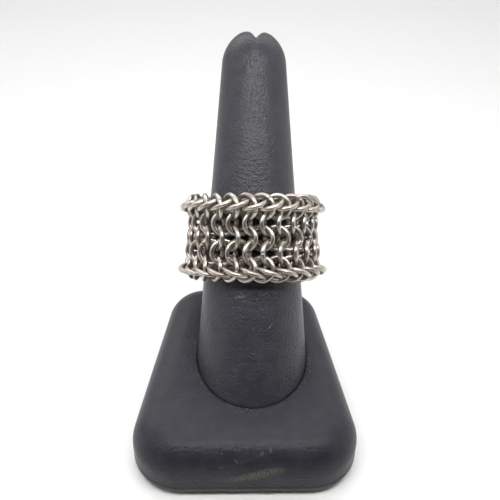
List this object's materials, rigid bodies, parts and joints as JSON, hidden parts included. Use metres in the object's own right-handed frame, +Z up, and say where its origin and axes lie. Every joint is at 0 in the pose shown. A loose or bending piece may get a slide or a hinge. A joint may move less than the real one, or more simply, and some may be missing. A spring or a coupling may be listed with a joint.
{
  "type": "chain link ring on a finger display stand",
  "caption": "Wide ring band of round wire links woven four in one, with flared rims, resting on a leaning finger stand with a flat rounded base.",
  "frame": {"origin": "on the surface that the stand rests on, under the middle of the base", "axes": "+Z up, -Y towards the wide front of the base, +X to its right; the finger leans back towards +Y"},
  "size_m": [0.0432, 0.0678, 0.0649],
  "materials": {
    "base_leatherette": "satin, fine pebbled grain",
    "finger_leatherette": "satin, fine pebbled grain",
    "link_wire": "polished, with warm dark reflections"
  },
  "bodies": {
    "root": {"display_base": "base_leatherette", "display_finger": "finger_leatherette", "woven_rows": "link_wire", "edge_rows": "link_wire"}
  },
  "joints": []
}
